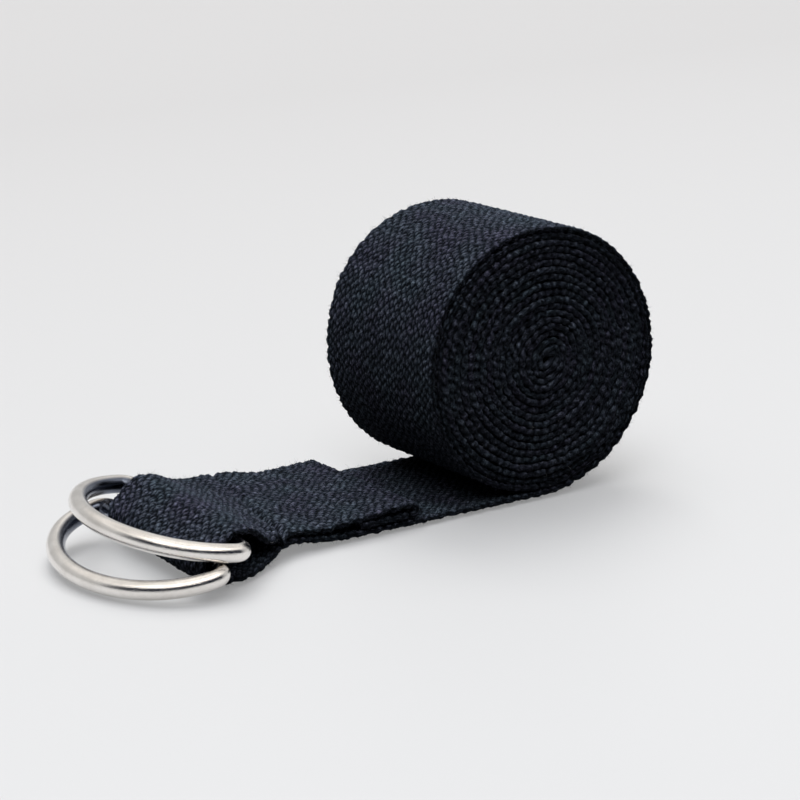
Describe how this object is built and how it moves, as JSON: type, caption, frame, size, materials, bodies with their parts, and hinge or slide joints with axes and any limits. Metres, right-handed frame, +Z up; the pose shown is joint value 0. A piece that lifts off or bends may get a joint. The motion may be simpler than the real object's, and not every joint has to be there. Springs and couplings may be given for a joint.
{
  "type": "stretching strap",
  "caption": "Long woven cotton strap with metal D-rings sewn into one end to make an adjustable loop, the rest of it rolled up in a tight flat spiral.",
  "frame": {"origin": "on the resting surface, straight below the axis of the roll and halfway across the webbing", "axes": "+X along the strap, from the D-rings towards the roll; +Y across the webbing; +Z up, away from the resting surface"},
  "size_m": [0.1338, 0.0526, 0.058],
  "materials": {
    "webbing": "heavy woven cotton webbing, black, matt",
    "ring_wire": "nickel-plated steel wire, polished, lightly worn",
    "sewing_thread": "black sewing thread"
  },
  "bodies": {
    "lead": {"lead_webbing": "webbing"},
    "loop_end": {"loop_end_webbing": "webbing", "loop_seam_needle_thread": "sewing_thread", "loop_seam_bobbin_thread": "sewing_thread", "end_seam_needle_thread": "sewing_thread", "end_seam_bobbin_thread": "sewing_thread"},
    "ring_upper": {"d_ring_upper": "ring_wire"},
    "ring_lower": {"d_ring_lower": "ring_wire"},
    "lap_01": {"lap_webbing_01": "webbing"},
    "lap_02": {"lap_webbing_02": "webbing"},
    "lap_03": {"lap_webbing_03": "webbing"},
    "lap_04": {"lap_webbing_04": "webbing"},
    "lap_05": {"lap_webbing_05": "webbing"},
    "lap_06": {"lap_webbing_06": "webbing"},
    "lap_07": {"lap_webbing_07": "webbing"},
    "lap_08": {"lap_webbing_08": "webbing"},
    "lap_09": {"lap_webbing_09": "webbing"},
    "lap_10": {"lap_webbing_10": "webbing"},
    "lap_11": {"lap_webbing_11": "webbing"},
    "lap_12": {"lap_webbing_12": "webbing"},
    "coil": {"coil_webbing": "webbing", "free_end_seam_needle_thread": "sewing_thread", "free_end_seam_bobbin_thread": "sewing_thread"}
  },
  "joints": [
    {"name": "loop_end_lift", "type": "hinge", "parent": "lead", "child": "loop_end", "pos_m": [-0.024, 0, 0.00146], "axis": [0, 1, 0], "range_deg": [0, 60]},
    {"name": "d_ring_upper_swing", "type": "hinge", "parent": "loop_end", "child": "ring_upper", "pos_m": [-0.07815, -0.008, 0.00807], "axis": [0.0087, 0.9989, 0.0471], "range_deg": [0, 150]},
    {"name": "d_ring_lower_swing", "type": "hinge", "parent": "loop_end", "child": "ring_lower", "pos_m": [-0.0837, -0.009, 0.005], "axis": [-0.0087, 0.9989, 0.0471], "range_deg": [-100, 0]},
    {"name": "lap_01_unroll", "type": "hinge", "parent": "lead", "child": "lap_01", "pos_m": [0, 0, 0], "axis": [0, 1, 0], "range_deg": [0, 15]},
    {"name": "lap_02_unroll", "type": "hinge", "parent": "lap_01", "child": "lap_02", "pos_m": [0.0145, 0, 0.00388], "axis": [0, 1, 0], "range_deg": [0, 30]},
    {"name": "lap_03_unroll", "type": "hinge", "parent": "lap_02", "child": "lap_03", "pos_m": [0.02511, 0, 0.0145], "axis": [0, 1, 0], "range_deg": [0, 30]},
    {"name": "lap_04_unroll", "type": "hinge", "parent": "lap_03", "child": "lap_04", "pos_m": [0.029, 0, 0.029], "axis": [0, 1, 0], "range_deg": [0, 30]},
    {"name": "lap_05_unroll", "type": "hinge", "parent": "lap_04", "child": "lap_05", "pos_m": [0.02511, 0, 0.0435], "axis": [0, 1, 0], "range_deg": [0, 30]},
    {"name": "lap_06_unroll", "type": "hinge", "parent": "lap_05", "child": "lap_06", "pos_m": [0.0145, 0, 0.05412], "axis": [0, 1, 0], "range_deg": [0, 30]},
    {"name": "lap_07_unroll", "type": "hinge", "parent": "lap_06", "child": "lap_07", "pos_m": [0, 0, 0.058], "axis": [0, 1, 0], "range_deg": [0, 30]},
    {"name": "lap_08_unroll", "type": "hinge", "parent": "lap_07", "child": "lap_08", "pos_m": [-0.01412, 0, 0.05422], "axis": [0, 1, 0], "range_deg": [0, 30]},
    {"name": "lap_09_unroll", "type": "hinge", "parent": "lap_08", "child": "lap_09", "pos_m": [-0.02445, 0, 0.04389], "axis": [0, 1, 0], "range_deg": [0, 30]},
    {"name": "lap_10_unroll", "type": "hinge", "parent": "lap_09", "child": "lap_10", "pos_m": [-0.02823, 0, 0.02977], "axis": [0, 1, 0], "range_deg": [0, 30]},
    {"name": "lap_11_unroll", "type": "hinge", "parent": "lap_10", "child": "lap_11", "pos_m": [-0.02445, 0, 0.01565], "axis": [0, 1, 0], "range_deg": [0, 30]},
    {"name": "lap_12_unroll", "type": "hinge", "parent": "lap_11", "child": "lap_12", "pos_m": [-0.01412, 0, 0.00532], "axis": [0, 1, 0], "range_deg": [0, 30]},
    {"name": "coil_unroll", "type": "hinge", "parent": "lap_12", "child": "coil", "pos_m": [0, 0, 0.00154], "axis": [0, 1, 0], "range_deg": [0, 15]}
  ],
  "couplings": [
    {"joint": "lap_02_unroll", "follows": "lap_01_unroll", "ratio": 2},
    {"joint": "lap_03_unroll", "follows": "lap_01_unroll", "ratio": 2},
    {"joint": "lap_04_unroll", "follows": "lap_01_unroll", "ratio": 2},
    {"joint": "lap_05_unroll", "follows": "lap_01_unroll", "ratio": 2},
    {"joint": "lap_06_unroll", "follows": "lap_01_unroll", "ratio": 2},
    {"joint": "lap_07_unroll", "follows": "lap_01_unroll", "ratio": 2},
    {"joint": "lap_08_unroll", "follows": "lap_01_unroll", "ratio": 2},
    {"joint": "lap_09_unroll", "follows": "lap_01_unroll", "ratio": 2},
    {"joint": "lap_10_unroll", "follows": "lap_01_unroll", "ratio": 2},
    {"joint": "lap_11_unroll", "follows": "lap_01_unroll", "ratio": 2},
    {"joint": "lap_12_unroll", "follows": "lap_01_unroll", "ratio": 2},
    {"joint": "coil_unroll", "follows": "lap_01_unroll", "ratio": 1}
  ]
}
